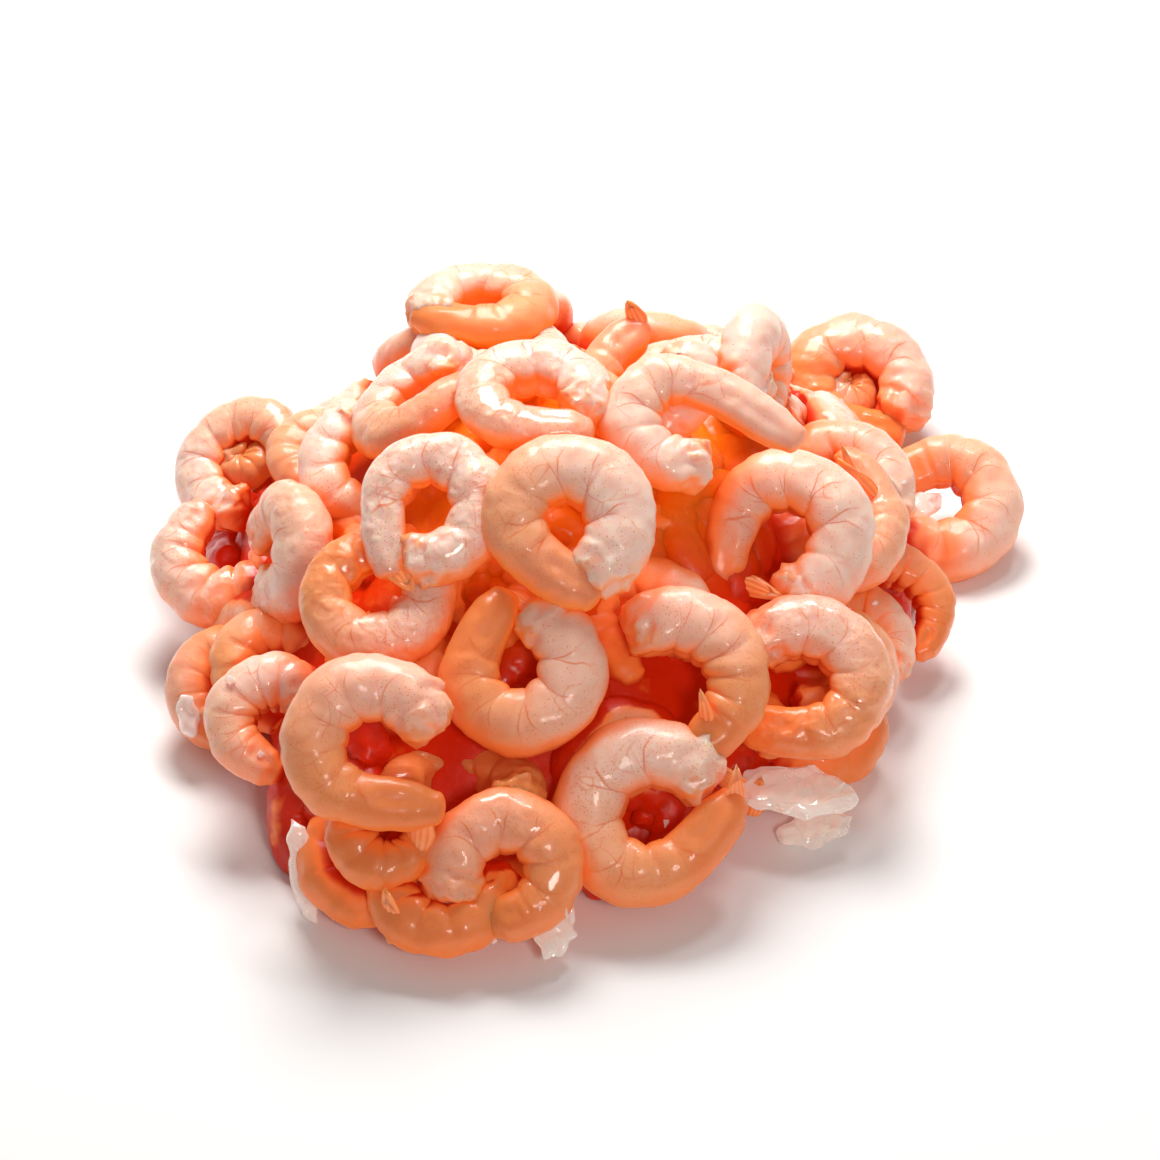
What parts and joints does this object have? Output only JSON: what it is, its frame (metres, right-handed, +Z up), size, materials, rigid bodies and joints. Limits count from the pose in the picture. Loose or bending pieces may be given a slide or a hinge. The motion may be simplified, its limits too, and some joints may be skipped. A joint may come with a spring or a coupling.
{
  "type": "heap of cooked peeled shrimp",
  "caption": "Loose heap of small cooked, peeled, tail-off shrimp, curled into rings and hooks, lying as tipped out, with a few slivers of flake ice at its foot.",
  "frame": {"origin": "middle of the underside of the heap's box, on the surface it lies on", "axes": "+Z up, -Y towards the side that the picture looks at, +X to that view's right"},
  "size_m": [0.1894, 0.1884, 0.0763],
  "materials": {
    "shrimp": "wet cooked shrimp flesh, creamy pink to orange, red in the creases",
    "ice": "clear to milky flake ice with sharp facets"
  },
  "bodies": {
    "root": {"shrimp_heap": "shrimp", "ice_flake_right": "ice", "ice_flake_right_low": "ice", "ice_flake_front": "ice", "ice_flake_left": "ice", "ice_flake_low_left": "ice", "ice_flake_back": "ice", "ice_flake_back_low": "ice"}
  },
  "joints": []
}
